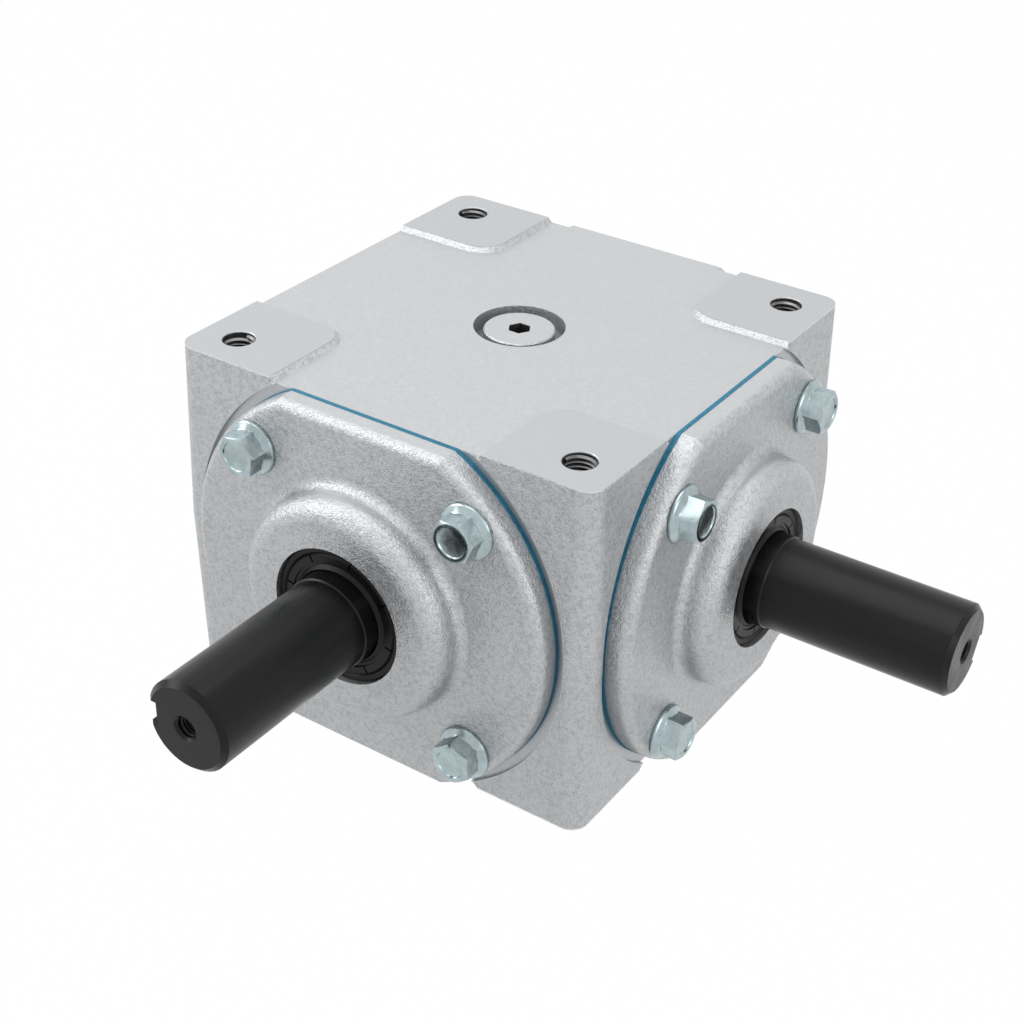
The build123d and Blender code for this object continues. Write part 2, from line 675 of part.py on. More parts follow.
# Filler plug with a hexagon socket, and its washer
plug_seat = case_height - pad_height - plug_sunk - plug_head_thick
with BuildPart() as plug:
    with BuildSketch(Plane.XY.offset(plug_seat)):
        Circle(plug_head / 2)
    extrude(amount=plug_head_thick)
    chamfer(plug.edges().sort_by(Axis.Z)[-1], step_chamfer)
    with BuildSketch(Plane.XY.offset(plug_seat)):
        Circle(plug_thread / 2)
    extrude(amount=-plug_reach)
    with BuildSketch(Plane.XY.offset(plug_seat + plug_head_thick)):
        RegularPolygon(plug_hex / 2, 6, major_radius=False)
    extrude(amount=-plug_hex_depth, mode=Mode.SUBTRACT)
save(plug, "filler_plug")
with BuildPart() as washer:
    with BuildSketch(Plane.XY.offset(plug_seat - plug_washer)):
        Circle(plug_head / 2)
        Circle(plug_thread / 2 + location_clearance, mode=Mode.SUBTRACT)
    extrude(amount=plug_washer)
save(washer, "filler_plug_washer")
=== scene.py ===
import bpy
import math
from mathutils import Matrix, Vector


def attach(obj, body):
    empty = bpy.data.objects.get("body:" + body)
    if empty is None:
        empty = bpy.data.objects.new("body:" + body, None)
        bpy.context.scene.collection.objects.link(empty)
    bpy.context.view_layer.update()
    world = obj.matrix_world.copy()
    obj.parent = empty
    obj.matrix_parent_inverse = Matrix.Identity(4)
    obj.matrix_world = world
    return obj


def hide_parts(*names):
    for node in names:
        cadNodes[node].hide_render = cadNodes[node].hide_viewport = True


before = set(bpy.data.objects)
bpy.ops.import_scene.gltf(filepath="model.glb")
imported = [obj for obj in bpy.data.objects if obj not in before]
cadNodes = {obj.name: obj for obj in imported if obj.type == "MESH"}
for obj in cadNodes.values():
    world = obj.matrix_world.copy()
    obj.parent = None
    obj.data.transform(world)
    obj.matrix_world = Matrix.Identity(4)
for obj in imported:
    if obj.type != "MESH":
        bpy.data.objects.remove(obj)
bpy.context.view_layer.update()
print("frame loaded:", len(cadNodes), "nodes")

mm = 0.001
axisHeight = 0.0725
crossing = Vector((0, 0, axisHeight))      # where the two shaft lines meet
outlets = (("front", Vector((0, -1, 0))), ("side", Vector((1, 0, 0))))    # ways out of the casting


# Helpers for modelling

def clearSelection():
    if bpy.context.object and bpy.context.object.mode != "OBJECT":
        bpy.ops.object.mode_set(mode="OBJECT")
    bpy.ops.object.select_all(action="DESELECT")


def makeActive(thing):
    clearSelection()
    thing.select_set(True)
    bpy.context.view_layer.objects.active = thing


def keepPlace():
    bpy.ops.object.transform_apply(location=True, rotation=True, scale=True)


def applyModifier(thing, kind, **values):
    makeActive(thing)
    modifier = thing.modifiers.new(kind.lower(), kind)
    for name, value in values.items():
        setattr(modifier, name, value)
    bpy.ops.object.modifier_apply(modifier=modifier.name)


def dropObject(thing):
    bpy.data.objects.remove(thing, do_unlink=True)


def combine(thing, operation, other):
    applyModifier(thing, "BOOLEAN", operation=operation, object=other, solver="EXACT")
    dropObject(other)


def turnedBody(name, rings, sides=64):
    # a round body built up from one ring to the next, as on a lathe: (radius, height) in mm
    clearSelection()
    radius, height = rings[0]
    bpy.ops.mesh.primitive_circle_add(vertices=sides, radius=radius * mm, fill_type="NGON",
                                      location=(0, 0, height * mm))
    body = bpy.context.object
    body.name = name
    keepPlace()
    bpy.ops.object.mode_set(mode="EDIT")
    bpy.ops.mesh.select_all(action="SELECT")
    for nextRadius, nextHeight in rings[1:]:
        rise = (0, 0, (nextHeight - height) * mm)
        bpy.ops.mesh.extrude_region_move(TRANSFORM_OT_translate={"value": rise})
        grow = nextRadius / radius
        bpy.ops.transform.resize(value=(grow, grow, 1), center_override=(0, 0, nextHeight * mm))
        radius, height = nextRadius, nextHeight
    bpy.ops.mesh.select_all(action="SELECT")
    bpy.ops.mesh.normals_make_consistent(inside=False)
    bpy.ops.object.mode_set(mode="OBJECT")
    return body


def moveBy(thing, matrix):
    thing.matrix_world = matrix
    makeActive(thing)
    keepPlace()


def turnZ(degrees):
    return Matrix.Rotation(math.radians(degrees), 4, "Z")


def standAt(thing, place, outward, turn=0.0):
    # moves a piece built on Z to its place, with its Z along outward, and keeps that in its mesh
    lean = Vector(outward).to_track_quat("Z", "Y").to_matrix().to_4x4()
    moveBy(thing, Matrix.Translation(place) @ lean @ turnZ(turn))


def copyOf(thing, name):
    twin = thing.copy()
    twin.data = thing.data.copy()
    twin.name = name
    bpy.context.scene.collection.objects.link(twin)
    return twin


def joinAll(things, name):
    clearSelection()
    for thing in things:
        thing.select_set(True)
    bpy.context.view_layer.objects.active = things[0]
    bpy.ops.object.join()
    whole = bpy.context.object
    whole.name = name
    whole.data.name = name
    return whole


def closeEnds(thing):
    makeActive(thing)
    bpy.ops.object.mode_set(mode="EDIT")
    bpy.ops.mesh.select_all(action="SELECT")
    bpy.ops.mesh.fill_holes(sides=8)
    bpy.ops.mesh.select_all(action="SELECT")
    bpy.ops.mesh.normals_make_consistent(inside=False)
    bpy.ops.object.mode_set(mode="OBJECT")


def finishPiece(piece, body, material, smoothAngle=35):
    makeActive(piece)
    bpy.ops.object.shade_smooth_by_angle(angle=math.radians(smoothAngle))
    piece.data.materials.clear()
    piece.data.materials.append(material)
    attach(piece, body)


# Helpers for materials

def newMaterial(name):
    material = bpy.data.materials.new(name)
    material.use_nodes = True
    tree = material.node_tree
    tree.nodes.clear()
    shader = tree.nodes.new("ShaderNodeBsdfPrincipled")
    output = tree.nodes.new("ShaderNodeOutputMaterial")
    tree.links.new(shader.outputs["BSDF"], output.inputs["Surface"])
    return material, tree, shader


def feed(tree, socket, value):
    if isinstance(value, bpy.types.NodeSocket):
        tree.links.new(value, socket)
    else:
        socket.default_value = value


def calc(tree, operation, first, second=0.0, clamp=False):
    node = tree.nodes.new("ShaderNodeMath")
    node.operation = operation
    node.use_clamp = clamp
    feed(tree, node.inputs[0], first)
    feed(tree, node.inputs[1], second)
    return node.outputs[0]


def plus(tree, first, second, clamp=False):
    return calc(tree, "ADD", first, second, clamp)


def minus(tree, first, second):
    return calc(tree, "SUBTRACT", first, second)


def times(tree, first, second):
    return calc(tree, "MULTIPLY", first, second)


def absolute(tree, value):
    return calc(tree, "ABSOLUTE", value)


def ramp(tree, value, fromLow, fromHigh, toLow=0.0, toHigh=1.0):
    node = tree.nodes.new("ShaderNodeMapRange")
    node.interpolation_type = "SMOOTHSTEP"
    feed(tree, node.inputs["Value"], value)
    node.inputs["From Min"].default_value = fromLow
    node.inputs["From Max"].default_value = fromHigh
    node.inputs["To Min"].default_value = toLow
    node.inputs["To Max"].default_value = toHigh
    return node.outputs["Result"]


def noise(tree, vector, scale, detail=2.0, roughness=0.5, stretch=None):
    if stretch:
        mapping = tree.nodes.new("ShaderNodeMapping")
        mapping.inputs["Scale"].default_value = stretch
        feed(tree, mapping.inputs["Vector"], vector)
        vector = mapping.outputs["Vector"]
    node = tree.nodes.new("ShaderNodeTexNoise")
    feed(tree, node.inputs["Vector"], vector)
    node.inputs["Scale"].default_value = scale
    node.inputs["Detail"].default_value = detail
    node.inputs["Roughness"].default_value = roughness
    return node.outputs["Fac"]


def mixColor(tree, share, first, second):
    node = tree.nodes.new("ShaderNodeMix")
    node.data_type = "RGBA"
    feed(tree, node.inputs["Factor"], share)
    feed(tree, node.inputs["A"], (*first, 1.0) if isinstance(first, tuple) else first)
    feed(tree, node.inputs["B"], (*second, 1.0) if isinstance(second, tuple) else second)
    return node.outputs["Result"]


def bumpFrom(tree, height, strength, distance):
    node = tree.nodes.new("ShaderNodeBump")
    feed(tree, node.inputs["Height"], height)
    feed(tree, node.inputs["Strength"], strength)
    node.inputs["Distance"].default_value = distance
    return node.outputs["Normal"]


def objectPlace(tree):
    # the place as a vector, its three parts, and the three parts of the surface's normal
    coord = tree.nodes.new("ShaderNodeTexCoord")
    split = tree.nodes.new("ShaderNodeSeparateXYZ")
    tree.links.new(coord.outputs["Object"], split.inputs[0])
    facing = tree.nodes.new("ShaderNodeSeparateXYZ")
    tree.links.new(coord.outputs["Normal"], facing.inputs[0])
    return coord.outputs["Object"], split.outputs, facing.outputs


def distanceFrom(tree, first, second, middle):
    across = minus(tree, first, middle[0])
    along = minus(tree, second, middle[1])
    return calc(tree, "SQRT", plus(tree, times(tree, across, across), times(tree, along, along)))


def inside(tree, value, limit, soft=0.0001):
    return ramp(tree, value, limit - soft, limit + soft, 1.0, 0.0)


def beyond(tree, value, limit, soft=0.0001):
    return ramp(tree, value, limit - soft, limit + soft)


def withinRound(tree, first, second, middle, radius):
    return inside(tree, distanceFrom(tree, first, second, middle), radius)


# Silver paint over a sand casting

paint = {
    "crest": (0.59, 0.605, 0.62),
    # the darker relief tone below is painted shade for the hollows of the cast relief
    "hollowShade": (0.44, 0.45, 0.46),
    "machined": (0.535, 0.55, 0.565),
    # a painted highlight colour, laid along the edges of the pads
    "edge": (0.88, 0.89, 0.90),
    # near black, painted shade inside the mounting holes, the plug's seat and the plug's socket
    "hole": (0.055, 0.055, 0.055),
    "metallic": 0.60,
    "roughness": (0.33, 0.41),
    "grainScale": 1500.0,          # per metre
    "leatherScale": 520.0,
    "wavesScale": 60.0,
    "grainShare": 0.55,
    "leatherShare": 0.45,
    "wavesShare": 0.6,
    "hollowShadeRange": (0.36, 0.58),    # where the relief's height turns from painted hollow shade to the plain crest tone
    "leatherRange": (0.3, 0.7),
    "flatRange": (0.90, 0.99),     # how straight up a surface faces to count as flat
    # flat surfaces facing up or down get at least this share of the plain tone, so little painted
    # hollow shade and a lighter look
    "flatUnshaded": 0.80,
    "bumpStrength": 0.85,
    "flatCalm": 0.60,              # how much less relief flat and machined surfaces have
    "machinedCalm": 0.9,
    "bumpDepth": 0.00075,
}


def paintedCasting(name, machinedParts=None, holeShadeParts=None, edgeHighlightParts=None):
    material, tree, shader = newMaterial(name)
    place, xyz, facing = objectPlace(tree)
    grain = noise(tree, place, paint["grainScale"])
    leather = noise(tree, place, paint["leatherScale"])
    waves = noise(tree, place, paint["wavesScale"], detail=1.0)
    flatTop = ramp(tree, absolute(tree, facing["Z"]), *paint["flatRange"])
    relief = plus(tree, times(tree, grain, paint["grainShare"]),
                  times(tree, leather, paint["leatherShare"]))
    height = plus(tree, relief, times(tree, waves, paint["wavesShare"]))
    # painted shade in the hollows of the relief, with little of it on surfaces facing straight up
    # or down
    crest = calc(tree, "MAXIMUM", ramp(tree, relief, *paint["hollowShadeRange"]),
                 times(tree, flatTop, paint["flatUnshaded"]))
    tone = mixColor(tree, crest, paint["hollowShade"], paint["crest"])
    rough = ramp(tree, leather, *paint["leatherRange"], *paint["roughness"])
    strength = minus(tree, paint["bumpStrength"], times(tree, flatTop, paint["flatCalm"]))
    if machinedParts:
        machined = machinedParts(tree, xyz)
        tone = mixColor(tree, machined, tone, paint["machined"])
        rest = minus(tree, 1.0, times(tree, machined, paint["machinedCalm"]))
        strength = times(tree, strength, rest)
    if edgeHighlightParts:
        # painted highlight along the edges
        tone = mixColor(tree, edgeHighlightParts(tree, xyz, facing, grain), tone, paint["edge"])
    # painted shade inside holes
    if holeShadeParts:
        tone = mixColor(tree, holeShadeParts(tree, xyz), tone, paint["hole"])
    tree.links.new(tone, shader.inputs["Base Color"])
    tree.links.new(rough, shader.inputs["Roughness"])
    shader.inputs["Metallic"].default_value = paint["metallic"]
    bump = bumpFrom(tree, height, strength, paint["bumpDepth"])
    tree.links.new(bump, shader.inputs["Normal"])
    return material


castPlaces = {                     # places on the housing in metres, the rest are shares
    "padTop": 0.1448,
    "padFoot": 0.0002,
    "seatRadius": 0.0832,
    "seatFace": 0.0893,
    "holeOffset": 0.075,
    "holeRadius": 0.0062,
    "plugRadius": 0.01772,
    "plugFloor": 0.12,
    "plugMouth": 0.1427,
    "plugShade": 0.4,
    "padSide": 0.0455,
    "padSideSoft": 0.001,
    "padEdge": 0.0719,             # above and below the shaft lines
    "plainEdge": 0.0699,
    "wallEdge": 0.0885,
    "uprightFacing": 0.5,
    "uprightSoft": 0.1,
    # how strongly the painted edge highlight shows, following the grain
    "shineRange": (0.30, 0.55),
    "shine": (0.35, 0.9),
}


def coverSeats(tree, xyz):
    # pads and cover seats are machined before the paint, so they are smooth
    pads = plus(tree, beyond(tree, xyz["Z"], castPlaces["padTop"]),
                inside(tree, xyz["Z"], castPlaces["padFoot"]))
    middle, radius, face = (0, axisHeight), castPlaces["seatRadius"], castPlaces["seatFace"]
    frontSeat = times(tree, withinRound(tree, xyz["X"], xyz["Z"], middle, radius),
                      inside(tree, xyz["Y"], -face))
    sideSeat = times(tree, withinRound(tree, xyz["Y"], xyz["Z"], middle, radius),
                     beyond(tree, xyz["X"], face))
    return plus(tree, pads, plus(tree, frontSeat, sideSeat), clamp=True)


def boredHoleShade(tree, xyz):
    # the bare metal in the mounting holes and the plug's seat, painted near black as the shade
    # inside them
    reachX, reachY = absolute(tree, xyz["X"]), absolute(tree, xyz["Y"])
    offset = castPlaces["holeOffset"]
    mounts = withinRound(tree, reachX, reachY, (offset, offset), castPlaces["holeRadius"])
    depth = times(tree, beyond(tree, xyz["Z"], castPlaces["plugFloor"]),
                  inside(tree, xyz["Z"], castPlaces["plugMouth"]))
    plugRound = withinRound(tree, xyz["X"], xyz["Y"], (0, 0), castPlaces["plugRadius"])
    plugSeat = times(tree, times(tree, plugRound, depth), castPlaces["plugShade"])
    return plus(tree, mounts, plugSeat, clamp=True)


def paintedEdgeHighlights(tree, xyz, facing, grain):
    # a painted highlight along the edges of the pads and of the surface between them
    upright = inside(tree, absolute(tree, facing["Z"]), castPlaces["uprightFacing"],
                     castPlaces["uprightSoft"])
    half = absolute(tree, minus(tree, xyz["Z"], axisHeight))
    reachX, reachY = absolute(tree, xyz["X"]), absolute(tree, xyz["Y"])
    nearer = calc(tree, "MINIMUM", reachX, reachY)
    outer = calc(tree, "MAXIMUM", reachX, reachY)
    pad = beyond(tree, nearer, castPlaces["padSide"], castPlaces["padSideSoft"])
    padLine = times(tree, pad, beyond(tree, half, castPlaces["padEdge"]))
    plainLine = times(tree, minus(tree, 1.0, pad), beyond(tree, half, castPlaces["plainEdge"]))
    line = times(tree, plus(tree, padLine, plainLine), beyond(tree, outer, castPlaces["wallEdge"]))
    shine = ramp(tree, grain, *castPlaces["shineRange"], *castPlaces["shine"])
    return times(tree, times(tree, line, upright), shine)


plugHexagon = {"radius": 0.0048, "top": 0.1418}     # in metres


def plugSocketShade(tree, xyz):
    # painted shade inside the hexagon socket in the filler plug, whose top is at 142 mm
    return times(tree, withinRound(tree, xyz["X"], xyz["Y"], (0, 0), plugHexagon["radius"]),
                 inside(tree, xyz["Z"], plugHexagon["top"]))


castHousing = paintedCasting("castHousing", coverSeats, boredHoleShade, paintedEdgeHighlights)
castCover = paintedCasting("castCover")
plugPaint = paintedCasting("plugPaint", None, plugSocketShade)


# Blackened steel of the two shafts

shaftFinish = {
    "color": (0.006, 0.006, 0.006),
    "worn": (0.018, 0.017, 0.016),
    "wornRange": (0.45, 0.75),
    "wornShare": 0.8,
    "roughness": 0.30,
    "roughRange": (0.3, 0.7),
    "roughSpread": (-0.05, 0.07),
    "specular": 0.22,
    "smearScale": 120.0,           # per metre
    "smearDetail": 3.0,
    "smearRoughness": 0.6,
    "smearStretch": 0.12,
    "fineScale": 2500.0,
    "facePitch": 0.0007,           # lathe marks on the end faces, in metres
    "sidePitch": 0.0004,           # lathe marks along the shafts
    "faceRange": (0.85, 0.95),
    "fineShare": 0.6,
    "sideShare": 0.10,
    "faceShare": 0.35,
    "bumpStrength": 0.25,
    "bumpDepth": 0.00004,
}


def latheMarks(tree, along, pitch):
    return calc(tree, "SINE", times(tree, along, 2 * math.pi / pitch))


def blackenedSteel(name, axis):
    material, tree, shader = newMaterial(name)
    place, xyz, facing = objectPlace(tree)
    other = "X" if axis == "Y" else "Y"
    thin = shaftFinish["smearStretch"]
    stretch = (thin, 1, 1) if axis == "X" else (1, thin, 1)
    smear = noise(tree, place, shaftFinish["smearScale"], shaftFinish["smearDetail"],
                  shaftFinish["smearRoughness"], stretch)
    fine = noise(tree, place, shaftFinish["fineScale"])
    radius = distanceFrom(tree, xyz[other], xyz["Z"], (0, axisHeight))
    faceMarks = latheMarks(tree, radius, shaftFinish["facePitch"])
    sideMarks = latheMarks(tree, xyz[axis], shaftFinish["sidePitch"])
    endFace = ramp(tree, absolute(tree, facing[axis]), *shaftFinish["faceRange"])
    wear = ramp(tree, smear, *shaftFinish["wornRange"], 0.0, shaftFinish["wornShare"])
    tone = mixColor(tree, wear, shaftFinish["color"], shaftFinish["worn"])
    tree.links.new(tone, shader.inputs["Base Color"])
    spread = ramp(tree, smear, *shaftFinish["roughRange"], *shaftFinish["roughSpread"])
    rough = plus(tree, spread, shaftFinish["roughness"])
    tree.links.new(rough, shader.inputs["Roughness"])
    height = plus(tree, times(tree, fine, shaftFinish["fineShare"]),
                  times(tree, sideMarks, shaftFinish["sideShare"]))
    ends = times(tree, times(tree, faceMarks, endFace), shaftFinish["faceShare"])
    height = plus(tree, height, ends)
    bump = bumpFrom(tree, height, shaftFinish["bumpStrength"], shaftFinish["bumpDepth"])
    tree.links.new(bump, shader.inputs["Normal"])
    shader.inputs["Metallic"].default_value = 0.0
    shader.inputs["Specular IOR Level"].default_value = shaftFinish["specular"]
    return material


# Plain metals, rubber and gasket board

metalGrain = {
    "cloudShare": 0.12,            # scale of the clouds against the fine grain
    "cloudDetail": 3.0,
    "cloudRoughness": 0.6,
    "cloudRange": (0.3, 0.7),
    "roughSpread": 0.10,
    "bumpStrength": 0.3,
}
metalLooks = {
    "zincSteel": {"color": (0.44, 0.53, 0.55), "shade": (0.33, 0.40, 0.415), "roughness": 0.20,
                  "grain": 1500.0},
    "brightSteel": {"color": (0.52, 0.52, 0.53), "shade": (0.42, 0.42, 0.43), "roughness": 0.22},
    "springSteel": {"color": (0.07, 0.07, 0.075), "shade": (0.045, 0.045, 0.05),
                    "roughness": 0.35, "metallic": 0.6},
    "gearSteel": {"color": (0.27, 0.27, 0.29), "shade": (0.19, 0.19, 0.21), "roughness": 0.30},
    "cageBrass": {"color": (0.62, 0.42, 0.14), "shade": (0.50, 0.32, 0.10), "roughness": 0.30},
    "threadSteel": {"color": (0.30, 0.30, 0.30), "shade": (0.14, 0.14, 0.14), "roughness": 0.30},
    "sealRubber": {"color": (0.005, 0.005, 0.0055), "shade": (0.003, 0.003, 0.0035),
                   "roughness": 0.34, "grain": 1200.0, "metallic": 0.0, "depth": 0.00005,
                   "specular": 0.2},
    "gasketBoard": {"color": (0.020, 0.215, 0.340), "shade": (0.012, 0.150, 0.250),
                    "roughness": 0.55, "grain": 2500.0, "metallic": 0.0, "depth": 0.00010},
}


def metalFinish(name, color, shade, roughness, grain=900.0, metallic=1.0, depth=0.00003,
                specular=0.5):
    material, tree, shader = newMaterial(name)
    place = objectPlace(tree)[0]
    cloud = noise(tree, place, grain * metalGrain["cloudShare"], metalGrain["cloudDetail"],
                  metalGrain["cloudRoughness"])
    fine = noise(tree, place, grain)
    tone = mixColor(tree, ramp(tree, cloud, *metalGrain["cloudRange"]), shade, color)
    tree.links.new(tone, shader.inputs["Base Color"])
    rough = ramp(tree, cloud, *metalGrain["cloudRange"], roughness,
                 roughness + metalGrain["roughSpread"])
    tree.links.new(rough, shader.inputs["Roughness"])
    bump = bumpFrom(tree, fine, metalGrain["bumpStrength"], depth)
    tree.links.new(bump, shader.inputs["Normal"])
    shader.inputs["Metallic"].default_value = metallic
    shader.inputs["Specular IOR Level"].default_value = specular
    return material


metals = {name: metalFinish(name, **look) for name, look in metalLooks.items()}
finishes = {                       # by the ending of a node's name, bright steel where none fits
    "housing": castHousing,
    "_cover": castCover,
    "filler_plug": plugPaint,
    "_gasket": metals["gasketBoard"],
    "_seal": metals["sealRubber"],
    "front_shaft": blackenedSteel("frontShaftSteel", "Y"),
    "side_shaft": blackenedSteel("sideShaftSteel", "X"),
    "_bevel_gear": metals["gearSteel"],
    "_cage": metals["cageBrass"],
    "_circlip": metals["springSteel"],
    "_bolts": metals["zincSteel"],
}
for name, node in cadNodes.items():
    fitting = [finish for ending, finish in finishes.items() if name.endswith(ending)]
    node.data.materials.clear()
    node.data.materials.append(fitting[0] if fitting else metals["brightSteel"])
print("materials laid on the frame")


# Hexagon flange bolts of the two covers

bolt = {                           # in mm and degrees
    "flats": 15.0,
    "foot": 0.5,                   # where the hexagon starts, inside the flange
    "height": 9.6,
    "chamferRadius": 7.15,
    "chamferSlope": 32,
    "dishRim": 5.75,
    "dishRadius": 5.5,
    "dishDepth": 0.55,
    "dishMiddle": 1.0,
    "dishFall": 0.1,
    "outside": 12,                 # radius and foot of the turned body that trims the hexagon
    "outsideFoot": 0.2,
    "outsideFall": 0.62,
    "stem": ((4.1, -25), (5.0, -24), (5.0, 0.0), (10.3, 0.0), (10.7, 0.35), (10.7, 1.1),
             (10.3, 1.6), (8.6, 2.4), (7.9, 3.0), (4.0, 3.0)),
    "edge": 0.22,
    "edgeAngle": 24,
    "smoothAngle": 30,
    "offset": 134.6 / 2 / math.sqrt(2),
    "coverFace": 100.5,
    "spots": ((-1, 1), (1, 1), (1, -1), (-1, -1)),
    "turns": {"front": (41, 38, 5, 22), "side": (8, 27, 40, 18)},
}


def flangeBolt():
    corner = bolt["flats"] / 2 / math.cos(math.pi / 6)
    slope = (corner - bolt["chamferRadius"]) * math.tan(math.radians(bolt["chamferSlope"]))
    wide, height, foot = bolt["outside"], bolt["height"], bolt["foot"]
    dishFloor = height - bolt["dishDepth"]
    clearSelection()
    bpy.ops.mesh.primitive_cylinder_add(vertices=6, radius=corner * mm, depth=(height - foot) * mm,
                                        location=(0, 0, (height + foot) / 2 * mm))
    head = bpy.context.object
    keepPlace()
    combine(head, "INTERSECT", turnedBody("envelope", [
        (wide, bolt["outsideFoot"]),
        (wide, height - slope - (wide - corner) * bolt["outsideFall"]),
        (bolt["chamferRadius"], height),
        (bolt["dishRim"], height),
        (bolt["dishRadius"], dishFloor),
        (bolt["dishMiddle"], dishFloor - bolt["dishFall"])]))
    combine(head, "UNION", turnedBody("stem", bolt["stem"]))
    applyModifier(head, "BEVEL", width=bolt["edge"] * mm, segments=2, limit_method="ANGLE",
                  angle_limit=math.radians(bolt["edgeAngle"]))
    return head


pattern = flangeBolt()
for label, outward in outlets:
    across = Vector((0, 0, 1)).cross(outward)
    copies = []
    for turn, (sideways, upward) in zip(bolt["turns"][label], bolt["spots"]):
        one = copyOf(pattern, f"{label}Bolt")
        spot = (crossing + outward * bolt["coverFace"] * mm
                + across * sideways * bolt["offset"] * mm
                + Vector((0, 0, upward * bolt["offset"] * mm)))
        standAt(one, spot, outward, turn)
        copies.append(one)
    bolts = joinAll(copies, f"{label}FlangeBolts")
    finishPiece(bolts, "case", metals["zincSteel"], bolt["smoothAngle"])
    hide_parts(f"{label}_cover_bolts")
dropObject(pattern)
print("flange bolts made")


# Threads in the mounting holes and in the shaft centres

mountThread = {                    # in mm and degrees
    "radius": 6.02, "crest": 5.15, "pitch": 1.75, "turns": 12, "start": 0.9,
    "offset": 75, "top": 145, "turnStep": 40,
}
centreThread = {
    "radius": 4.01, "crest": 3.4, "pitch": 1.25, "turns": 13, "start": 1.6,
    "shaftEnd": 192,
}
ridge = {                          # shares of the pitch, and steps in one turn
    "footHalf": 0.44, "crestHalf": 0.07, "below": 0.5, "steps": 40,
}


def threadCoil(name, sizes):
    # a ridge that winds down into a hole whose mouth is at Z 0
    clearSelection()
    bpy.ops.mesh.primitive_circle_add(vertices=4, radius=mm, fill_type="NOTHING",
                                      location=(0, 0, 0))
    coil = bpy.context.object
    coil.name = name
    pitch, foot, crest = sizes["pitch"], ridge["footHalf"], ridge["crestHalf"]
    low = -sizes["start"] - pitch * (sizes["turns"] + ridge["below"])
    section = ((sizes["radius"], -foot), (sizes["crest"], -crest),
               (sizes["crest"], crest), (sizes["radius"], foot))
    for corner, (radius, height) in zip(coil.data.vertices, section):
        corner.co = (radius * mm, 0, (low + height * pitch) * mm)
    applyModifier(coil, "SCREW", angle=2 * math.pi, screw_offset=pitch * mm,
                  iterations=sizes["turns"], steps=ridge["steps"], render_steps=ridge["steps"],
                  axis="Z")
    closeEnds(coil)
    return coil


pattern = threadCoil("mountThread", mountThread)
coils = []
offset = mountThread["offset"]
for x in (-offset, offset):
    for y in (-offset, offset):
        for z, outward in ((0, (0, 0, -1)), (mountThread["top"], (0, 0, 1))):
            coil = copyOf(pattern, "mountCoil")
            standAt(coil, Vector((x, y, z)) * mm, outward,
                    mountThread["turnStep"] * (x + y) / offset)
            coils.append(coil)
dropObject(pattern)
finishPiece(joinAll(coils, "mountThreads"), "case", metals["threadSteel"])

pattern = threadCoil("centreThread", centreThread)
for label, outward in outlets:
    coil = copyOf(pattern, f"{label}ShaftThread")
    standAt(coil, crossing + outward * centreThread["shaftEnd"] * mm, outward)
    finishPiece(coil, f"{label}_shaft_set", finishes[f"{label}_shaft"])
dropObject(pattern)
print("threads made")


# Gasket edges that stand out round the feet of the two covers

gasketEdge = {                     # in mm
    "seat": 89.8,
    "thick": 1.7,
    "radius": 79.25,
    "inside": 78.4,
    "flat": 70.62,
    "flatInside": 70.3,
    "over": 1.0,                   # how far the core that is cut out stands past both faces
    "sides": 160,
}


def flattedDisc(radius, flat, low, high):
    # a disc with a flat above and below
    disc = turnedBody("disc", [(radius, low), (radius, high)], gasketEdge["sides"])
    clearSelection()
    middle = (0, 0, (low + high) / 2 * mm)
    bpy.ops.mesh.primitive_cube_add(size=2 * mm, location=middle)
    block = bpy.context.object
    bpy.ops.transform.resize(value=(2 * radius, flat, high - low), center_override=middle)
    keepPlace()
    combine(disc, "INTERSECT", block)
    return disc


ring = flattedDisc(gasketEdge["radius"], gasketEdge["flat"], 0.0, gasketEdge["thick"])
combine(ring, "DIFFERENCE", flattedDisc(gasketEdge["inside"], gasketEdge["flatInside"],
                                        -gasketEdge["over"],
                                        gasketEdge["thick"] + gasketEdge["over"]))
for label, outward in outlets:
    edge = copyOf(ring, f"{label}GasketEdge")
    standAt(edge, crossing + outward * gasketEdge["seat"] * mm, outward)
    finishPiece(edge, "case", metals["gasketBoard"])
dropObject(ring)
print("gasket edges made")


# Cast slopes along the inner sides of the eight mounting pads

padSlope = {                       # in mm, level is above and below the shaft lines
    "inner": 46.5,
    "corner": 11.0,
    "wide": 2.2,
    "high": 1.95,
    "end": 91.0,
    "level": 70.5,
    "sink": 0.3,
    "overlap": 0.2,
    "bendSteps": 12,
}


def slopeProfile(name):
    # a wedge beside the pad, upright in the plane of X and Z, the corner's middle at the origin
    clearSelection()
    bpy.ops.mesh.primitive_circle_add(vertices=3, radius=mm, fill_type="NGON", location=(0, 0, 0))
    wedge = bpy.context.object
    wedge.name = name
    rim, foot = padSlope["corner"] - padSlope["overlap"], padSlope["corner"] + padSlope["wide"]
    section = ((rim, padSlope["high"]), (foot, -padSlope["sink"]), (rim, -padSlope["sink"]))
    for corner, (reach, height) in zip(wedge.data.vertices, section):
        corner.co = (-reach * mm, 0, height * mm)
    return wedge


def padWedge():
    bend = slopeProfile("bend")
    applyModifier(bend, "SCREW", angle=math.pi / 2, screw_offset=0, iterations=1,
                  steps=padSlope["bendSteps"], render_steps=padSlope["bendSteps"], axis="Z")
    closeEnds(bend)
    parts = [bend]
    length = padSlope["end"] - padSlope["inner"] - padSlope["corner"]
    for turn, way in ((0, 1), (90, -1)):
        straight = slopeProfile("straight")
        bpy.ops.object.mode_set(mode="EDIT")
        bpy.ops.mesh.select_all(action="SELECT")
        reach = (0, way * length * mm, 0)
        bpy.ops.mesh.extrude_region_move(TRANSFORM_OT_translate={"value": reach})
        bpy.ops.object.mode_set(mode="OBJECT")
        closeEnds(straight)
        moveBy(straight, turnZ(turn))
        parts.append(straight)
    return joinAll(parts, "padWedge")


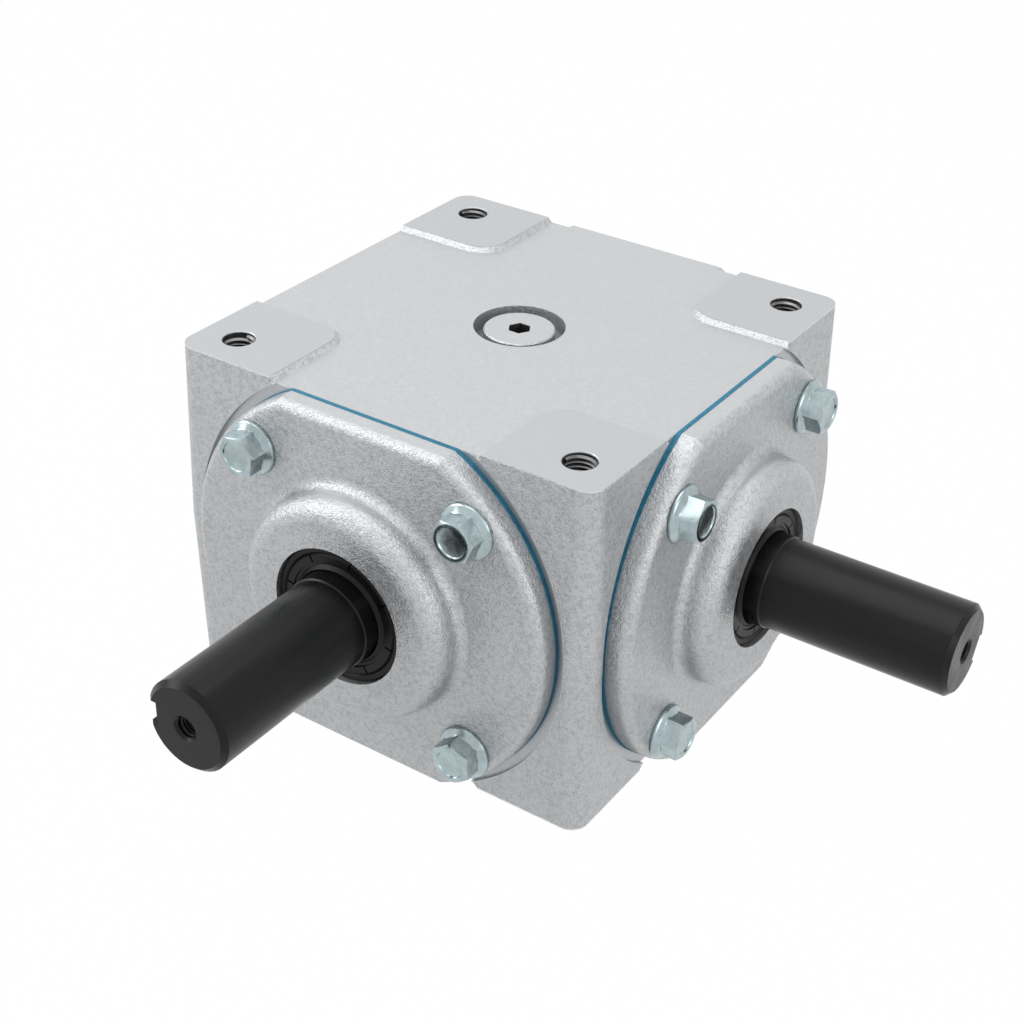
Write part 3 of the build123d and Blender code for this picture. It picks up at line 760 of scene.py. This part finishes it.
pattern = padWedge()
slopes = []
middle = padSlope["inner"] + padSlope["corner"]
for quarter in range(4):
    slope = copyOf(pattern, "padSlope")
    moveBy(slope, Matrix.Translation(crossing) @ turnZ(90 * quarter)
           @ Matrix.Translation(Vector((middle, middle, padSlope["level"])) * mm))
    slopes.append(slope)
dropObject(pattern)
upper = joinAll(slopes, "upperPadSlopes")
lower = copyOf(upper, "lowerPadSlopes")
moveBy(lower, Matrix.Translation(crossing) @ Matrix.Rotation(math.pi, 4, "X")
       @ Matrix.Translation(-crossing))
for piece in (upper, lower):
    finishPiece(piece, "case", castCover)
print("pad slopes made")


# Floor, light and camera

stageLook = {
    "floorSize": 30.0,
    "floorHeight": -0.0002,
    "floorLight": 0.985,           # the share of the floor that shows as plain white
    "floorGlow": 1.01,
    "floorColor": (0.22, 0.22, 0.22, 1),
    "skyColor": (1, 1, 1, 1),
    "skyFill": 0.50,
    "lamps": (
        {"name": "overhead", "place": (-0.12, -0.05, 1.05), "size": 0.9, "watts": 3.8},
        {"name": "left", "place": (-1.10, -0.55, 0.75), "size": 0.8, "watts": 7.6},
        {"name": "right", "place": (1.15, -0.35, 0.60), "size": 0.7, "watts": 3.2},
    ),
}


def whiteForEye(tree, white, other):
    # the camera, mirrors and glass see white; all other rays get the real light
    path = tree.nodes.new("ShaderNodeLightPath")
    seen = calc(tree, "MAXIMUM", path.outputs["Is Camera Ray"], path.outputs["Is Glossy Ray"])
    seen = calc(tree, "MAXIMUM", seen, path.outputs["Is Transmission Ray"])
    mix = tree.nodes.new("ShaderNodeMixShader")
    tree.links.new(seen, mix.inputs[0])
    tree.links.new(other, mix.inputs[1])
    tree.links.new(white, mix.inputs[2])
    return mix.outputs[0]


def paleFloor():
    material = bpy.data.materials.new("paleFloor")
    material.use_nodes = True
    tree = material.node_tree
    tree.nodes.clear()
    plain = tree.nodes.new("ShaderNodeBsdfDiffuse")
    plain.inputs["Color"].default_value = stageLook["floorColor"]
    glow = tree.nodes.new("ShaderNodeEmission")
    glow.inputs["Strength"].default_value = stageLook["floorGlow"]
    blend = tree.nodes.new("ShaderNodeMixShader")
    blend.inputs[0].default_value = stageLook["floorLight"]
    tree.links.new(plain.outputs[0], blend.inputs[1])
    tree.links.new(glow.outputs[0], blend.inputs[2])
    output = tree.nodes.new("ShaderNodeOutputMaterial")
    surface = whiteForEye(tree, blend.outputs[0], plain.outputs[0])
    tree.links.new(surface, output.inputs["Surface"])
    return material


def studioSky():
    world = bpy.data.worlds.new("studio")
    world.use_nodes = True
    tree = world.node_tree
    tree.nodes.clear()
    white = tree.nodes.new("ShaderNodeBackground")
    fill = tree.nodes.new("ShaderNodeBackground")
    fill.inputs["Strength"].default_value = stageLook["skyFill"]
    for sky in (white, fill):
        sky.inputs["Color"].default_value = stageLook["skyColor"]
    output = tree.nodes.new("ShaderNodeOutputWorld")
    surface = whiteForEye(tree, white.outputs[0], fill.outputs[0])
    tree.links.new(surface, output.inputs["Surface"])
    return world


clearSelection()
bpy.ops.mesh.primitive_plane_add(size=stageLook["floorSize"],
                                 location=(0, 0, stageLook["floorHeight"]))
floor = bpy.context.object
floor.name = "floor"
floor.data.materials.append(paleFloor())

bpy.context.scene.world = studioSky()

for lamp in stageLook["lamps"]:
    light = bpy.data.lights.new(lamp["name"], "AREA")
    light.shape = "SQUARE"
    light.size = lamp["size"]
    light.energy = lamp["watts"]
    holder = bpy.data.objects.new(lamp["name"], light)
    bpy.context.scene.collection.objects.link(holder)
    holder.location = lamp["place"]
    holder.rotation_mode = "QUATERNION"
    holder.rotation_quaternion = (crossing - Vector(lamp["place"])).to_track_quat("-Z", "Y")

cameraLook = {
    "place": (0.340223, -0.515829, 0.446463),
    "around": 33.499,              # degrees round the gearbox, from its front
    "above": 32.082,
    "roll": 1.515,
    "lens": 63.13,
    "sensor": 36.0,
    "near": 0.01,
    "far": 50.0,
}
around, above, roll = (math.radians(cameraLook[key]) for key in ("around", "above", "roll"))
back = Vector((math.sin(around) * math.cos(above), -math.cos(around) * math.cos(above),
               math.sin(above)))
level = Vector((math.cos(around), math.sin(around), 0))
rise = back.cross(level)
right = level * math.cos(roll) + rise * math.sin(roll)
top = rise * math.cos(roll) - level * math.sin(roll)
camera = bpy.data.objects.new("camera", bpy.data.cameras.new("camera"))
bpy.context.scene.collection.objects.link(camera)
camera.data.lens = cameraLook["lens"]
camera.data.sensor_width = cameraLook["sensor"]
camera.data.clip_start = cameraLook["near"]
camera.data.clip_end = cameraLook["far"]
camera.matrix_world = Matrix((
    (right.x, top.x, back.x, cameraLook["place"][0]),
    (right.y, top.y, back.y, cameraLook["place"][1]),
    (right.z, top.z, back.z, cameraLook["place"][2]),
    (0, 0, 0, 1)))
bpy.context.scene.camera = camera
bpy.context.scene.view_settings.view_transform = "Standard"
print("stage and camera set")
